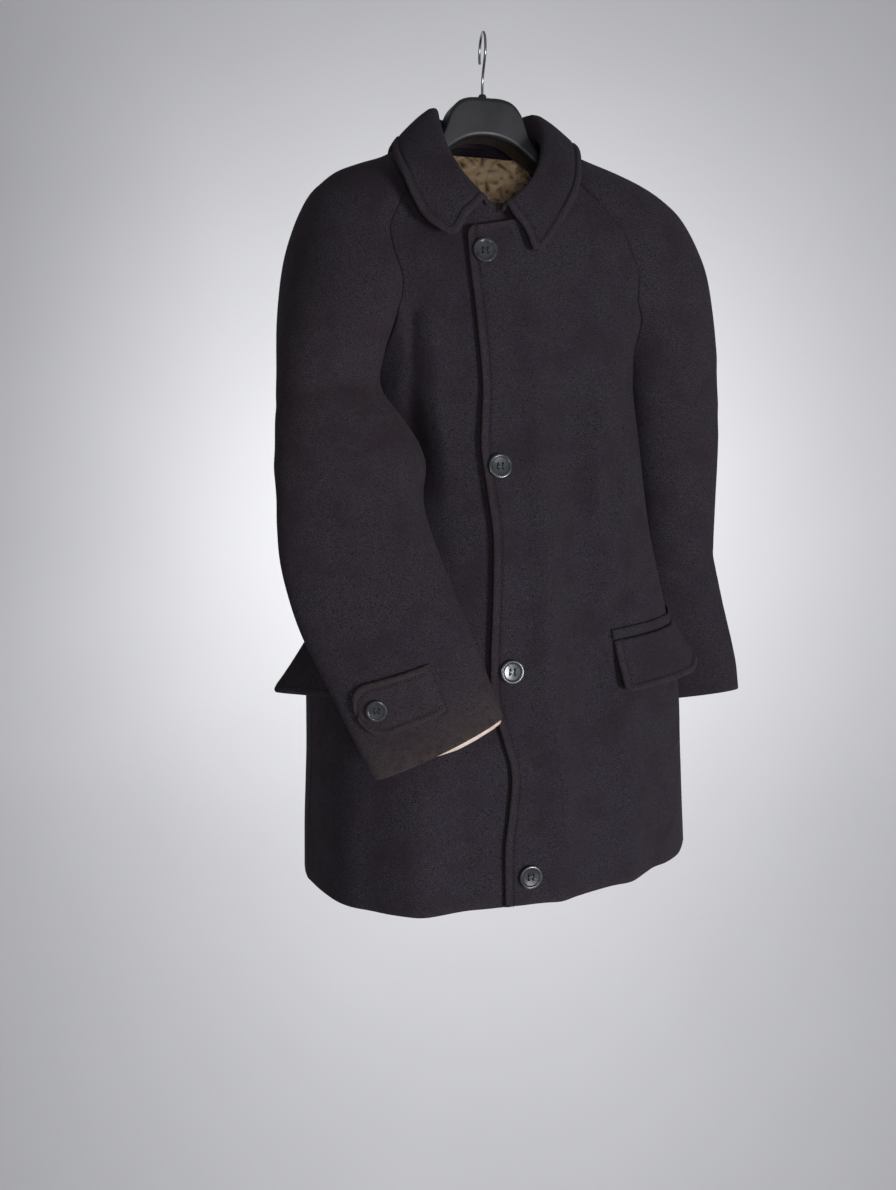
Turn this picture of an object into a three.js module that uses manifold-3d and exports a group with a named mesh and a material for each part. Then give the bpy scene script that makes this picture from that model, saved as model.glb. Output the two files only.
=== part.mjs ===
// A wool coat with raglan sleeves, buttoned and hanging on a broad clothes hanger.
// Millimetres. +Z is up, the coat faces -Y and its wearer's left is +X.
// The origin is the inside of the hook's bend, where a rail carries the hanger.
import * as THREE from 'three';
import Module from 'manifold-3d';

const wasm = await Module();
wasm.setup();

// ---------------------------------------------------------------- cloth and seams

const WOOL = 3.2;          // one thickness of heavy coating with its backing
const DOUBLE_WOOL = 4.4;   // collar, flaps and straps, two thicknesses pressed together
const LINING = 1.2;
const SEAM_GAP = 0.5;      // between two pieces sewn edge to edge
const SIT_ON = 1.8;        // air under a piece that lies on another

// ---------------------------------------------------------------- sleeves
// A sleeve is a run of ovals. Each has its centre, the reach from there to the outer arm, the
// depth from there to the front, and how far it closes under the arm: 0 is a half oval over
// the shoulder, 90 is a whole tube that closes at its inner end.

const oval = (centre, reach, depth, closes) => ({ centre, reach, depth, closes });

const SLEEVE_LEFT = [
  oval([73, -7, -142], [-1, 3, 26], [11, -51, -18], 0),      // neck
  oval([106, -5, -180], [16, 1, 46], [6, -69, -12], 0),
  oval([137, -2, -218], [51, -2, 60], [5, -78, -8], 0),
  oval([163, -2, -263], [77, 0, 70], [4, -78, -1], 4),
  oval([212, 0, -300], [67, 2, 36], [2, -74, -2], 36),
  oval([243, 2, -398], [59, 2, 6], [0, -47, 0], 90),         // armpit
  oval([248, 1, -456], [57, 1, 4], [0, -40, -2], 90),
  oval([254, 4, -522], [51, 2, 3], [0, -39, -4], 90),
  oval([258, 12, -588], [48, 0, 2], [2, -38, -8], 90),       // elbow
  oval([271, 32, -650], [53, -12, 5], [0, -31, -8], 90),
  oval([284, 46, -706], [55, -28, 8], [-8, -22, -5], 90),
  oval([293, 54, -748], [55, -38, 10], [-11, -17, -3], 90),
  oval([299, 58, -785], [53, -43, 12], [-10, -13, -2], 90),  // cuff
];

const SLEEVE_RIGHT = [
  oval([-73, -7, -142], [1, 3, 26], [-11, -51, -18], 0),     // neck
  oval([-104, -7, -184], [-14, 3, 41], [-6, -69, -12], 0),
  oval([-129, -8, -224], [-41, 2, 61], [-3, -78, -8], 0),
  oval([-146, -14, -265], [-59, 2, 70], [-1, -78, -1], 4),
  oval([-184, -30, -303], [-49, 6, 31], [6, -76, -4], 36),
  oval([-199, -50, -398], [-48, 0, 6], [0, -50, 0], 90),     // armpit
  oval([-188, -84, -460], [-66, 0, 4], [4, -44, -5], 90),
  oval([-181, -116, -526], [-76, 4, 3], [4, -36, -9], 90),
  oval([-174, -137, -584], [-84, 8, -1], [3, -30, -9], 90),  // elbow
  oval([-159, -151, -640], [-83, 10, -13], [2, -26, -7], 90),
  oval([-134, -159, -698], [-77, 8, -24], [2, -22, -4], 90),
  oval([-114, -163, -746], [-73, 6, -28], [2, -19, -3], 90),
  oval([-98, -166, -783], [-70, 4, -31], [2, -17, -2], 90),  // cuff
];

const BODY_CLEAR = 0.968;  // draws the body's side in where it leaves the sleeve
const CAP_ROWS = 5;        // ovals from the neck down to the armpit
const ROW_STEPS = 2;       // rings drawn for each of those stretches
const AROUND_SLEEVE = 18;  // strips of cloth round a sleeve

// ---------------------------------------------------------------- fronts and back
// Each row crosses a panel. Above the armpit its seam end is the sleeve's edge, and below it
// the row is level and ends at the side seam. A row's height is at its free edge, and a point
// with a height of its own keeps it.

const row = (height, across, side) => ({ height, across, side });

// The wearer's left front laps over the right one. From its edge: the facing, the soft fold
// that stands beside it, then the hip.
const FRONT_LEFT = [
  row(-233, [[-50, -106, -233], [8, -108.5, -222], [38, -102, -206], [58, -88, -184], [74, -72, -170]]),
  row(-256, [[-49, -107], [10, -109], [42, -102], [70, -92], [94, -82]]),
  row(-282, [[-47, -111], [13, -112], [48, -103], [86, -94], [118, -87]]),
  row(-312, [[-44, -115], [16, -115], [52, -104], [96, -96], [137, -87]]),
  row(-352, [[-41, -120], [20, -119], [56, -106], [106, -98], [151, -82]]),
  row(-404, [[-38, -125], [24, -123], [60, -109], [114, -97], [165, -61]]),
  row(-470, [[-42, -133], [22, -131], [58, -114], [116, -102], [171, -67]], [187, -4]),
  row(-560, [[-31, -141], [31, -139], [67, -120], [125, -108], [184, -67]], [202, -6]),
  row(-650, [[-33, -145], [30, -144], [68, -124], [132, -111], [204, -67]], [228, -10]),
  row(-740, [[-34, -148], [34, -148], [73, -129], [143, -113], [222, -66]], [252, -8]),
  row(-820, [[-12, -151], [49, -150], [87, -133], [154, -110], [228, -61]], [262, -1]),
  row(-900, [[-20, -154], [44, -152], [84, -136], [160, -105], [235, -50]], [272, 10]),
  row(-968, [[-20, -156], [46, -151], [88, -135], [165, -98], [243, -38]], [282, 22]),
];

// The right front lies under the left one, and the sleeve presses it in.
const FRONT_RIGHT = [
  row(-207, [[20, -97, -207], [-22, -97, -204], [-44, -92, -194], [-60, -82, -180], [-74, -70, -168]]),
  row(-246, [[21, -99], [-25, -99], [-55, -96], [-78, -90], [-96, -82]]),
  row(-276, [[22, -103], [-27, -103], [-62, -101], [-92, -97], [-114, -92]]),
  row(-308, [[23, -107], [-28, -107], [-68, -105], [-102, -101], [-127, -97]]),
  row(-350, [[24, -112], [-29, -112], [-72, -109], [-108, -102], [-132, -97]]),
  row(-404, [[24, -117], [-30, -117], [-75, -112], [-112, -98], [-138, -78]]),
  row(-470, [[24, -125], [-30, -124], [-72, -115], [-101, -93], [-124, -46]], [-150, -26]),
  row(-560, [[24, -132], [-30, -131], [-72, -118], [-100, -96], [-143, -70]], [-178, -28]),
  row(-650, [[24, -136], [-30, -136], [-72, -128], [-114, -118], [-172, -92]], [-210, -22]),
  row(-740, [[24, -140], [-30, -140], [-72, -137], [-122, -131], [-181, -93]], [-208, -12]),
  row(-820, [[25, -143], [-28, -144], [-74, -146], [-128, -142], [-186, -92]], [-206, -4]),
  row(-900, [[26, -146], [-25, -148], [-74, -151], [-128, -149], [-190, -94]], [-209, 4]),
  row(-970, [[26, -148], [-24, -150], [-74, -153], [-124, -152], [-188, -92]], [-210, 8]),
];

// The back runs from the wearer's left to the right.
const BACK = [
  row(-120, [[40, 54], [20, 60], [0, 62], [-20, 60], [-40, 54]]),
  row(-162, [[66, 74], [32, 80], [0, 82], [-32, 80], [-66, 74]]),
  row(-205, [[90, 84], [44, 90], [0, 92], [-44, 90], [-88, 84]]),
  row(-262, [[108, 88], [54, 94], [2, 96], [-52, 93], [-104, 80]]),
  row(-330, [[124, 84], [62, 94], [4, 98], [-58, 93], [-118, 70]]),
  row(-404, [[170, 56], [100, 90], [8, 100], [-88, 92], [-152, 38]]),
  row(-470, [[180, 48], [104, 94], [10, 103], [-92, 94], [-160, 36]]),
  row(-560, [[188, 50], [108, 98], [12, 107], [-98, 98], [-178, 40]]),
  row(-650, [[206, 50], [114, 102], [14, 111], [-102, 102], [-196, 46]]),
  row(-740, [[226, 56], [120, 106], [16, 114], [-104, 106], [-198, 52]]),
  row(-820, [[236, 66], [125, 110], [17, 117], [-104, 109], [-198, 56]]),
  row(-900, [[240, 78], [128, 115], [18, 120], [-105, 113], [-200, 60]]),
  row(-969, [[242, 88], [130, 120], [18, 124], [-106, 116], [-200, 64]]),
];

const ACROSS_STEPS = 2;    // strips drawn for each stretch of a row

// ---------------------------------------------------------------- collar
// From the wearer's right front round the back to the left front: the neck seam, the roll
// where the collar turns over, and its outer edge. The two end rows are its front points.

const COLLAR = [
  { seam: [-25, -101, -212], roll: [-30, -106, -206], edge: [-66, -115, -250] },
  { seam: [-46, -92, -189], roll: [-51, -95, -181], edge: [-98, -105, -227] },
  { seam: [-62, -68, -162], roll: [-60, -64, -147], edge: [-116, -92, -186] },
  { seam: [-66, -36, -132], roll: [-59, -30, -114], edge: [-118, -58, -156] },
  { seam: [-60, -2, -112], roll: [-54, 0, -91], edge: [-104, -10, -131] },
  { seam: [-44, 38, -114], roll: [-40, 40, -90], edge: [-90, 70, -143] },
  { seam: [0, 54, -114], roll: [0, 58, -90], edge: [0, 100, -166] },
  { seam: [44, 38, -114], roll: [42, 40, -90], edge: [98, 70, -138] },
  { seam: [60, -2, -112], roll: [58, 0, -90], edge: [108, -12, -124] },
  { seam: [64, -36, -132], roll: [60, -30, -114], edge: [97, -58, -154] },
  { seam: [55, -68, -162], roll: [48, -64, -149], edge: [79, -94, -192] },
  { seam: [28, -96, -192], roll: [22, -99, -185], edge: [50, -111, -233] },
  { seam: [-10, -106, -218], roll: [-9, -112, -212], edge: [23, -120, -267] },
];
const COLLAR_TURN = 9;     // how far the roll stands out before the collar falls
const COLLAR_ROUND = 4.5;  // how far its leaf bows away from a straight fall

// ---------------------------------------------------------------- pockets and straps

// Places on a panel are counted in drawn rows down and drawn strips across it.
// Slant is how many rows the end at the last strip is higher.
const FLAP_LEFT = {
  panel: 'front_left', from: 5.5, to: 9.7, top: 16.77, foot: 18.03, slant: 0.32, flare: [12, 22],
};
const FLAP_RIGHT = {
  panel: 'front_right', from: 0.5, to: 4.4, top: 16.2, foot: 17.85, slant: 0, flare: [50, 0],
};
const FLAP_STEPS = { along: 8, down: 4 };
const WELT_ROWS = 0.22;     // height of the ridge along a pocket's mouth
const WELT_ABOVE = 0.06;    // from there down to the flap

const STRAP_ROW = 20.9;     // the middle of a cuff strap, counted down the sleeve
const STRAP_ROWS = 1.08;    // from there to each of its long edges
const STRAP_RIGHT = { panel: 'sleeve_right', from: 14.3, to: 10.7 };
const STRAP_LEFT = { panel: 'sleeve_left', from: 14.3, to: 10.7 };
const STRAP_STEPS = { along: 12, across: 8 };
const STRAP_ROUND = 0.3;    // the share of its length over which the end is rounded
const STRAP_BLUNT = 0.93;   // 1 would draw the end in to a point

const NECK_LINING = { rows: 6, from: 0, to: 13 };
const CUFF_LINING = { from: 22, to: 23.9, peeps: 0.36 };   // it peeps out on the arm's inner side

// ---------------------------------------------------------------- buttons

const FRONT_BUTTON = { across: 27, thick: 4.6 };
const CUFF_BUTTON = { across: 22.5, thick: 4.2 };
const BUTTON_SIDES = 40;
const HOLE_SIDES = 12;
const BUTTON_AIR = 0.8;     // thread shank between a button and the cloth
const FRONT_BUTTONS = [[-31, -259], [-22, -488], [-11.5, -709], [8.5, -936]];   // X and Z
const CUFF_BUTTONS = { right: [-168, -737], left: [330, -718] };

// ---------------------------------------------------------------- hanger

const HANGER_DEPTH = 40;
const HANGER_EDGE = 6;     // rounding of its long edges
const HANGER_REACH = 200;  // of each arm
const HANGER_SWEEP = 16;   // how far its arm ends bend forward
// Pairs of X and Z, on the top edge and on the foot, from the middle to the end of an arm.
const HANGER_SECTIONS = [
  [[0, -73.6], [0, -117.5]], [[18, -73.8], [12, -118.4]], [[31, -78], [25, -122]],
  [[41, -89], [36, -128]], [[48, -107], [46, -135]], [[58, -125], [58, -144]],
  [[84, -139], [82, -159]], [[130, -158], [126, -182]], [[170, -179], [162, -201]],
  [[194, -194], [184, -210]], [[203, -205], [199, -211]],
];
const WIRE = 3;
const HOOK_RADIUS = 20.5;  // to the middle of the wire
const HOOK_TURN = 82;      // degrees that the hook is swivelled from the hanger's plane
const WIRE_SIDES = 14;

// ================================================================ tools

const vec = (p) => new THREE.Vector3(p[0], p[1], p[2]);

const { lerp } = THREE.MathUtils;
const steps = (count, make) => Array.from({ length: count + 1 }, (_, i) => make(i / count, i));

// A smooth line through points, drawn in the same number of strides for each stretch.
function through(points, strides) {
  const curve = new THREE.CatmullRomCurve3(points, false, 'centripetal');
  return steps((points.length - 1) * strides, (share) => curve.getPoint(share));
}

// The outward direction at each point of a grid, from its neighbours.
function facing(grid) {
  const last = (list) => list.length - 1;
  return grid.map((line, i) => line.map((_, j) => {
    const down = grid[Math.min(i + 1, last(grid))][j].clone().sub(grid[Math.max(i - 1, 0)][j]);
    const across = line[Math.min(j + 1, last(line))].clone().sub(line[Math.max(j - 1, 0)]);
    return down.cross(across).normalize();
  }));
}

const grown = (grid, normals, out) => grid.map(
  (line, i) => line.map((point, j) => point.clone().addScaledVector(normals[i][j], out)));

// A closed wall between two grids of the same size: its face, its back and its rim.
function wall(outer, inner) {
  const rows = outer.length;
  const columns = outer[0].length;
  const positions = [...outer.flat(), ...inner.flat()].flatMap((p) => [p.x, p.y, p.z]);
  const at = (i, j) => i * columns + j;
  const behind = rows * columns;
  const faces = [];
  const quad = (a, b, c, d) => faces.push(a, b, c, a, c, d);
  for (let i = 0; i < rows - 1; i += 1) {
    for (let j = 0; j < columns - 1; j += 1) {
      const [a, b, c, d] = [at(i, j), at(i + 1, j), at(i + 1, j + 1), at(i, j + 1)];
      quad(a, b, c, d);
      quad(behind + d, behind + c, behind + b, behind + a);
    }
  }
  const rim = (a, b) => quad(a, b, behind + b, behind + a);
  for (let i = 0; i < rows - 1; i += 1) {
    rim(at(i + 1, 0), at(i, 0));
    rim(at(i, columns - 1), at(i + 1, columns - 1));
  }
  for (let j = 0; j < columns - 1; j += 1) {
    rim(at(0, j), at(0, j + 1));
    rim(at(rows - 1, j + 1), at(rows - 1, j));
  }
  const geometry = new THREE.BufferGeometry();
  geometry.setAttribute('position', new THREE.Float32BufferAttribute(positions, 3));
  geometry.setIndex(faces);
  return geometry;
}

// A sheet of cloth whose outer side is the grid.
function sheet(grid, thickness, normals = facing(grid)) {
  return wall(grid, grown(grid, normals, -thickness));
}

// ================================================================ the sewn shell

// The point of one oval at an angle from its front, and the ovals between those given.
function ringBetween(ovals, place) {
  const first = Math.min(Math.floor(place), ovals.length - 2);
  const share = place - first;
  const pick = (key) => {
    const curve = new THREE.CatmullRomCurve3(ovals.map((ring) => vec(ring[key])), false, 'centripetal');
    return curve.getPoint((first + share) / (ovals.length - 1));
  };
  const closes = lerp(ovals[first].closes, ovals[first + 1].closes, share);
  return { centre: pick('centre'), reach: pick('reach'), depth: pick('depth'), closes };
}

function onOval(ring, degrees) {
  const angle = THREE.MathUtils.degToRad(degrees);
  return ring.centre.clone()
    .addScaledVector(ring.reach, Math.sin(angle))
    .addScaledVector(ring.depth, Math.cos(angle));
}

function sleeveGrid(ovals) {
  const rows = (ovals.length - 1) * ROW_STEPS;
  return Array.from({ length: rows + 1 }, (_, i) => {
    const ring = ringBetween(ovals, i / ROW_STEPS);
    const turn = 180 + 2 * ring.closes;
    return Array.from({ length: AROUND_SLEEVE + 1 }, (__, j) => (
      onOval(ring, -ring.closes + (turn * j) / AROUND_SLEEVE)));
  });
}

// A panel's grid. Its seam sides are taken from the drawn sleeve edges and side seams.
function panelGrid(rows, seams) {
  const ends = [seams.first, seams.last];
  const columns = rows[0].across.length;
  const lines = Array.from({ length: columns }, (_, c) => through(rows.map((line, r) => {
    const level = r > CAP_ROWS;
    const far = (end) => (end ? end[r * ROW_STEPS].z : line.height);
    const share = (c + (ends[0] ? 1 : 0)) / (columns - 1 + (ends[0] ? 1 : 0) + (ends[1] ? 1 : 0));
    const middle = ends[0] && ends[1];
    const rise = middle ? Math.abs(share - 0.5) * 2 : share;
    const side = middle && share < 0.5 ? far(ends[0]) : far(ends[1]);
    const z = level ? line.height : lerp(line.height, side, rise * rise);
    const [x, y, own] = line.across[c];
    return vec([x, y, own ?? z]);
  }), ROW_STEPS));
  if (ends[0]) lines.unshift(ends[0]);
  if (ends[1]) lines.push(ends[1]);
  return lines[0].map((_, i) => through(lines.map((line) => line[i]), ACROSS_STEPS));
}

function sideSeam(rows, sleeveEdge) {
  const above = sleeveEdge.slice(0, CAP_ROWS * ROW_STEPS);
  const below = [sleeveEdge[above.length].clone().multiply(vec([BODY_CLEAR, 1, 1]))];
  rows.filter((line) => line.side).forEach((line) => below.push(vec([...line.side, line.height])));
  return [...above, ...through(below, ROW_STEPS)];
}

const mirrored = (grid) => grid.map((line) => [...line].reverse());

function shell() {
  const sleeves = { left: sleeveGrid(SLEEVE_LEFT), right: sleeveGrid(SLEEVE_RIGHT) };
  const edge = (grid, at) => grid.map((line) => line.at(at));
  const seams = {
    frontLeft: sideSeam(FRONT_LEFT, edge(sleeves.left, 0)),
    frontRight: sideSeam(FRONT_RIGHT, edge(sleeves.right, 0)),
    backLeft: sideSeam(FRONT_LEFT, edge(sleeves.left, -1)),
    backRight: sideSeam(FRONT_RIGHT, edge(sleeves.right, -1)),
  };
  return {
    front_left: panelGrid(FRONT_LEFT, { last: seams.frontLeft }),
    front_right: mirrored(panelGrid(FRONT_RIGHT, { last: seams.frontRight })),
    back: panelGrid(BACK, { first: seams.backLeft, last: seams.backRight }),
    sleeve_left: sleeves.left,
    sleeve_right: mirrored(sleeves.right),
  };
}

// Pieces that share a seam share its outward direction too, so their walls meet squarely. Below
// the armpit a sleeve's edges meet only each other.
function shareSeamFacing(grids) {
  const normals = Object.fromEntries(Object.entries(grids).map(([name, grid]) => [name, facing(grid)]));
  const key = (name, i, p) => {
    const alone = name.startsWith('sleeve') && i >= CAP_ROWS * ROW_STEPS;
    return [alone ? name : '', ...[p.x, p.y, p.z].map((n) => n.toFixed(2))].join();
  };
  const sums = new Map();
  const each = (visit) => Object.keys(grids).forEach((name) => grids[name].forEach(
    (line, i) => line.forEach((point, j) => visit(key(name, i, point), normals[name][i], j))));
  each((where, line, j) => {
    sums.set(where, (sums.get(where) ?? new THREE.Vector3()).add(line[j]));
  });
  each((where, line, j) => { line[j] = sums.get(where).clone().normalize(); });
  return normals;
}

// Draws the two long edges of a piece back by half a seam gap.
function trimmed(grid) {
  return grid.map((line) => {
    const drawn = line.map((point) => point.clone());
    const pull = (from, to) => {
      const way = line[to].clone().sub(line[from]).normalize();
      drawn[from].addScaledVector(way, SEAM_GAP / 2);
    };
    pull(0, 1);
    pull(line.length - 1, line.length - 2);
    return drawn;
  });
}

// ================================================================ pieces laid on the shell

function collarGrid() {
  const turned = COLLAR.map(({ seam, roll, edge }) => {
    const [low, top, end] = [vec(seam), vec(roll), vec(edge)];
    const out = end.clone().sub(top).setZ(0).normalize();
    const fall = end.clone().sub(top).normalize();
    const bow = new THREE.Vector3(0, 0, 1).addScaledVector(fall, -fall.z).normalize();
    const turn = Math.min(COLLAR_TURN, (top.z - low.z) * 0.5);
    const leaf = (share, round) => top.clone().lerp(end, share).addScaledVector(bow, round);
    return [
      low,
      low.clone().lerp(top, 0.6),
      top.clone().addScaledVector(out, turn * 0.35).setZ(top.z + turn / 6),
      leaf(0.17, turn * 0.55),
      leaf(0.45, COLLAR_ROUND),
      leaf(0.75, COLLAR_ROUND * 0.5),
      end,
    ];
  });
  const lengthwise = turned[0].map((_, c) => through(turned.map((line) => line[c]), 2));
  return lengthwise[0].map((_, i) => through(lengthwise.map((line) => line[i]), 2)).reverse();
}

// A point of a panel, moved out from its face.
function onPanel(panel, down, across, out) {
  const { grid, normals } = panel;
  const i = Math.min(Math.floor(down), grid.length - 2);
  const j = Math.min(Math.floor(across), grid[0].length - 2);
  const mix = (net) => {
    const upper = net[i][j].clone().lerp(net[i][j + 1], across - j);
    const lower = net[i + 1][j].clone().lerp(net[i + 1][j + 1], across - j);
    return upper.lerp(lower, down - i);
  };
  return mix(grid).addScaledVector(mix(normals).normalize(), out);
}

// A flap hangs from the pocket's mouth and stands off the coat at its foot.
function flapGrid(panel, { from, to, top, foot, slant, flare }) {
  const lie = SIT_ON + DOUBLE_WOOL;
  return steps(FLAP_STEPS.down, (down) => steps(FLAP_STEPS.along, (share) => onPanel(
    panel, lerp(top, foot, down) - slant * share, lerp(from, to, share),
    lie + lerp(flare[0], flare[1], share) * down ** 1.3)));
}

// A low ridge along the pocket's mouth, just above its flap.
function weltGrid(panel, { from, to, top, slant }) {
  return steps(1, (down) => steps(FLAP_STEPS.along, (share) => onPanel(
    panel, top - slant * share - WELT_ABOVE - WELT_ROWS * (1 - down), lerp(from, to, share),
    SIT_ON + WOOL)));
}

// A cuff strap with a rounded end.
function strapGrid(panel, { from, to }) {
  return steps(STRAP_STEPS.across, (down) => steps(STRAP_STEPS.along, (share) => {
    const round = Math.max(0, 1 - (1 - share) / STRAP_ROUND);
    const half = STRAP_ROWS * Math.sqrt(1 - STRAP_BLUNT * round * round);
    return onPanel(panel, STRAP_ROW + half * (2 * down - 1), lerp(from, to, share), SIT_ON + DOUBLE_WOOL);
  }));
}

function neckLiningGrid(panel) {
  const { rows, from, to } = NECK_LINING;
  return steps(rows, (_, i) => steps(to - from, (__, j) => onPanel(panel, i, from + j, -WOOL - SIT_ON)));
}

function cuffLiningGrid(panel) {
  const { from, to, peeps } = CUFF_LINING;
  return steps(3, (down) => steps(AROUND_SLEEVE * 2, (share) => {
    const foot = to + peeps * THREE.MathUtils.smoothstep(Math.abs(2 * share - 1), 0.35, 0.6);
    return onPanel(panel, lerp(from, foot, down), share * AROUND_SLEEVE, -WOOL - SIT_ON / 2);
  }));
}

function button({ across, thick }) {
  const half = across / 2;
  const profile = [
    [0, 0], [half * 0.7, 0], [half * 0.94, thick * 0.3], [half, thick * 0.62], [half * 0.95, thick * 0.92],
    [half * 0.84, thick], [half * 0.74, thick * 0.93], [half * 0.66, thick * 0.7], [half * 0.3, thick * 0.62],
    [0, thick * 0.6],
  ].map(([r, z]) => new THREE.Vector2(r, z));
  const disc = solidOf(new THREE.LatheGeometry(profile, BUTTON_SIDES).rotateX(Math.PI / 2));
  let drilled = disc;
  const hole = across * 0.042;
  const apart = across * 0.1;
  for (const [x, y] of [[1, 1], [-1, 1], [-1, -1], [1, -1]]) {
    const drill = new THREE.CylinderGeometry(hole, hole, thick * 3, HOLE_SIDES).rotateX(Math.PI / 2);
    drill.translate(x * apart, y * apart, 0);
    drilled = drilled.subtract(solidOf(drill));
  }
  return geometryOf(drilled).rotateX(Math.PI / 2);
}

// ================================================================ manifold-3d

function solidOf(geometry) {
  const { position } = geometry.attributes;
  const count = position.count;
  const vertProperties = new Float32Array(count * 3);
  for (let i = 0; i < count * 3; i += 1) vertProperties[i] = position.array[i];
  const triVerts = geometry.index
    ? new Uint32Array(geometry.index.array)
    : Uint32Array.from({ length: count }, (_, i) => i);
  const mesh = new wasm.Mesh({ numProp: 3, vertProperties, triVerts });
  mesh.merge();
  return new wasm.Manifold(mesh);
}

function geometryOf(solid) {
  const mesh = solid.getMesh();
  const geometry = new THREE.BufferGeometry();
  geometry.setAttribute('position', new THREE.BufferAttribute(mesh.vertProperties, 3));
  geometry.setIndex(new THREE.BufferAttribute(mesh.triVerts, 1));
  return geometry;
}

// ================================================================ hanger

// A section of the hanger: a rounded bar between a point of its top edge and one of its foot.
function hangerSection([top, foot], side) {
  const away = side * top[0];
  const half = (HANGER_DEPTH / 2) * (1 - 0.2 * Math.abs(away / HANGER_REACH));
  const sweep = -HANGER_SWEEP * (away / HANGER_REACH) ** 2;
  const fall = vec([side * foot[0], 0, foot[1]]).sub(vec([away, 0, top[1]]));
  const height = fall.length();
  fall.normalize();
  const round = Math.min(HANGER_EDGE, height * 0.3);
  const ring = [];
  const corners = [[1, round, 90], [1, height - round, 0], [-1, height - round, -90], [-1, round, -180]];
  for (const [y, z, start] of corners) {
    for (let turn = 0; turn <= 90; turn += 30) {
      const angle = THREE.MathUtils.degToRad(start - turn);
      const across = y * (half - round) + round * Math.cos(angle);
      const down = z - round * Math.sin(angle);
      ring.push(vec([away, sweep + across, top[1]]).addScaledVector(fall, down));
    }
  }
  return ring;
}

// The hanger is a row of sections from one arm's end to the other.
function hangerBody() {
  const edge = (at) => through(HANGER_SECTIONS.map((pair) => vec([pair[at][0], 0, pair[at][1]])), 3);
  const [tops, feet] = [edge(0), edge(1)];
  const pairs = tops.map((top, i) => [[top.x, top.z], [feet[i].x, feet[i].z]]);
  const rings = [
    ...pairs.slice(1).reverse().map((pair) => hangerSection(pair, -1)),
    ...pairs.map((pair) => hangerSection(pair, 1)),
  ];
  const around = rings[0].length;
  const centre = (ring) => ring.reduce((sum, p) => sum.add(p), new THREE.Vector3()).divideScalar(around);
  const points = [...rings.flat(), centre(rings[0]), centre(rings.at(-1))];
  const faces = [];
  for (let k = 0; k < rings.length - 1; k += 1) {
    for (let i = 0; i < around; i += 1) {
      const [a, b] = [k * around + i, k * around + ((i + 1) % around)];
      faces.push(a, b + around, b, a, a + around, b + around);
    }
  }
  const last = (rings.length - 1) * around;
  for (let i = 0; i < around; i += 1) {
    const next = (i + 1) % around;
    faces.push(points.length - 2, i, next, points.length - 1, last + next, last + i);
  }
  const geometry = new THREE.BufferGeometry();
  const positions = points.flatMap((p) => [p.x, p.y, p.z]);
  geometry.setAttribute('position', new THREE.Float32BufferAttribute(positions, 3));
  geometry.setIndex(faces);
  return geometry;
}

// The wire's middle line, in the hook's own plane: up the stem, out, over the rail and down.
function hookLine() {
  const line = [new THREE.Vector2(0, -73), new THREE.Vector2(0, -56), new THREE.Vector2(-3, -47)];
  const bend = new THREE.Vector2(0, WIRE / 2 - HOOK_RADIUS);
  for (let degrees = 205; degrees >= -30; degrees -= 12) {
    const angle = THREE.MathUtils.degToRad(degrees);
    line.push(new THREE.Vector2(
      bend.x + HOOK_RADIUS * Math.cos(angle), bend.y + HOOK_RADIUS * Math.sin(angle)));
  }
  const turn = THREE.MathUtils.degToRad(HOOK_TURN);
  return line.map((p) => new THREE.Vector3(p.x * Math.cos(turn), p.x * Math.sin(turn), p.y));
}

function tube(points, radius, sides) {
  const path = new THREE.CatmullRomCurve3(points, false, 'centripetal');
  const section = new THREE.Shape();
  section.absarc(0, 0, radius, 0, Math.PI * 2);
  return new THREE.ExtrudeGeometry(section, {
    steps: points.length * 3, curveSegments: sides / 2, bevelEnabled: false, extrudePath: path,
  });
}

// The bead round the foot of the wire.
function hookBead() {
  const inner = WIRE / 2 + 0.35;
  const profile = [
    [inner, -73.4], [3.6, -73.4], [4.7, -71.4], [4.7, -68.6], [3.6, -66.6], [inner, -66.2], [inner, -73.4],
  ].map(([r, z]) => new THREE.Vector2(r, z));
  return new THREE.LatheGeometry(profile, 24).rotateX(Math.PI / 2);
}

// ================================================================ assembly

const paint = (color, roughness, metalness = 0) => (
  new THREE.MeshStandardMaterial({ color, roughness, metalness, side: THREE.DoubleSide }));

const WOOL_PAINT = paint('#3a343a', 0.95);
const WOOL_DARK = paint('#302b31', 0.95);
const LINING_PAINT = paint('#9c7f5c', 0.45);
const CUFF_LINING_PAINT = paint('#d3bfae', 0.4);
const BUTTON_PAINT = paint('#555657', 0.25);
const HANGER_PAINT = paint('#36373a', 0.5);
const STEEL_PAINT = paint('#8d8d90', 0.3, 1);

const coat = new THREE.Group();

function add(name, geometry, material) {
  geometry.computeVertexNormals();
  const mesh = new THREE.Mesh(geometry, material);
  mesh.name = name;
  coat.add(mesh);
  return mesh;
}

const panels = shell();
const panelFacing = shareSeamFacing(panels);
for (const [name, grid] of Object.entries(panels)) {
  add(name, sheet(trimmed(grid), WOOL, panelFacing[name]), WOOL_PAINT);
}
const panel = (name) => ({ grid: panels[name], normals: panelFacing[name] });

add('collar', sheet(collarGrid(), DOUBLE_WOOL), WOOL_DARK);
add('neck_lining', sheet(neckLiningGrid(panel('back')), LINING), LINING_PAINT);
add('cuff_lining', sheet(trimmed(cuffLiningGrid(panel('sleeve_right'))), LINING), CUFF_LINING_PAINT);

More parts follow.
